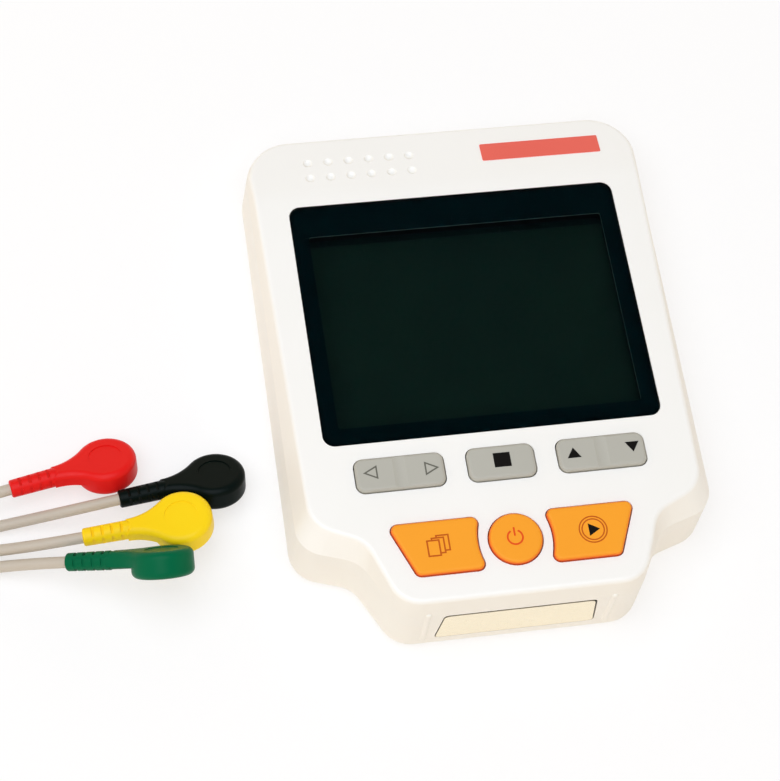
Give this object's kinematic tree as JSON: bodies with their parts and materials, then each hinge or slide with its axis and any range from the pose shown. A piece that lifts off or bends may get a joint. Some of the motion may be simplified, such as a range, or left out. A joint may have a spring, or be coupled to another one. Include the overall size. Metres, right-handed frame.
{
  "type": "home heart monitor",
  "caption": "Hand-held heart rhythm recorder with a display window, press keys, a metal end plate and a set of coloured snap leads.",
  "frame": {"origin": "middle of the underside of the housing as it lies on its back", "axes": "+X to the right of the display, +Y towards the top end with the lead socket, +Z out of the face"},
  "size_m": [0.3233, 0.1283, 0.0265],
  "materials": {
    "white_plastic": "satin moulded plastic",
    "rear_plastic": "satin moulded plastic, warmer white",
    "clear_lens": "clear polished window",
    "black_print": "black printed border",
    "black_foam": "closed-cell foam",
    "display_metal": "thin pressed frame",
    "display_glass": "dark display glass, switched off",
    "circuit_board": "solder mask",
    "black_plastic": "moulded",
    "steel": "plated steel",
    "key_rubber": "silicone rubber",
    "electrode_metal": "smooth stainless plate",
    "battery_wrap": "plain printed sleeve",
    "nickel": "nickel plate",
    "cord_grey": "warm grey flexible sheath",
    "grey_key": "matt grey",
    "orange_key": "matt orange",
    "red_plastic": "smooth soft plastic",
    "clip_black": "smooth soft plastic",
    "yellow_plastic": "smooth soft plastic",
    "green_plastic": "smooth soft plastic"
  },
  "bodies": {
    "monitor": {"front_case": "white_plastic", "rear_case": "rear_plastic", "case_screws": "steel", "display_lens": "clear_lens", "lens_mask": "black_print", "display_gasket": "black_foam", "lcd_frame": "display_metal", "lcd_glass": "display_glass", "main_board": "circuit_board", "board_parts": "black_plastic", "board_screws": "steel", "dome_switches": "steel", "key_mat": "key_rubber", "speaker": "black_plastic", "end_electrode": "electrode_metal", "electrode_springs": "steel", "finger_electrode": "electrode_metal", "batteries": "battery_wrap", "battery_springs": "steel", "battery_contacts": "steel", "lead_socket": "nickel", "socket_insert": "black_plastic", "socket_board": "circuit_board", "snap_sockets": "nickel", "lead_yoke": "cord_grey", "trunk_cable": "cord_grey", "trunk_coil": "cord_grey", "coil_tie": "black_plastic", "trunk_tail": "cord_grey", "plug_body": "cord_grey", "plug_shell": "nickel", "plug_insert": "black_plastic", "red_clip": "red_plastic", "red_lead": "cord_grey", "black_clip": "clip_black", "black_lead": "cord_grey", "yellow_clip": "yellow_plastic", "yellow_lead": "cord_grey", "green_clip": "green_plastic", "green_lead": "cord_grey"},
    "left_right_key": {"left_right_key": "grey_key"},
    "stop_key": {"stop_key": "grey_key"},
    "up_down_key": {"up_down_key": "grey_key"},
    "pages_key": {"pages_key": "orange_key"},
    "power_key": {"power_key": "orange_key"},
    "play_key": {"play_key": "orange_key"},
    "battery_cover": {"battery_cover": "rear_plastic"}
  },
  "joints": [
    {"name": "stop_press", "type": "slide", "parent": "monitor", "child": "stop_key", "axis": [0, -0.0541, -0.9985], "range_m": [0, 0.0006], "stiffness_N_per_m": 2500, "springref_m": -0.0002},
    {"name": "pages_press", "type": "slide", "parent": "monitor", "child": "pages_key", "axis": [0, -0.0541, -0.9985], "range_m": [0, 0.0006], "stiffness_N_per_m": 2500, "springref_m": -0.0002},
    {"name": "power_press", "type": "slide", "parent": "monitor", "child": "power_key", "axis": [0, -0.0541, -0.9985], "range_m": [0, 0.0006], "stiffness_N_per_m": 2500, "springref_m": -0.0002},
    {"name": "play_press", "type": "slide", "parent": "monitor", "child": "play_key", "axis": [0, -0.0541, -0.9985], "range_m": [0, 0.0006], "stiffness_N_per_m": 2500, "springref_m": -0.0002},
    {"name": "left_right_tilt", "type": "hinge", "parent": "monitor", "child": "left_right_key", "pos_m": [-0.0237, -0.0301, 0.02132], "axis": [0, 0.9985, -0.0541], "range_deg": [-2.5, 2.5], "stiffness_Nm_per_rad": 0.24},
    {"name": "up_down_tilt", "type": "hinge", "parent": "monitor", "child": "up_down_key", "pos_m": [0.0237, -0.0301, 0.02132], "axis": [0, 0.9985, -0.0541], "range_deg": [-2.5, 2.5], "stiffness_Nm_per_rad": 0.24},
    {"name": "battery_cover_tilt", "type": "hinge", "parent": "monitor", "child": "battery_cover", "pos_m": [0, -0.01445, 0.0002], "axis": [1, 0, 0], "range_deg": [0, 45]}
  ]
}
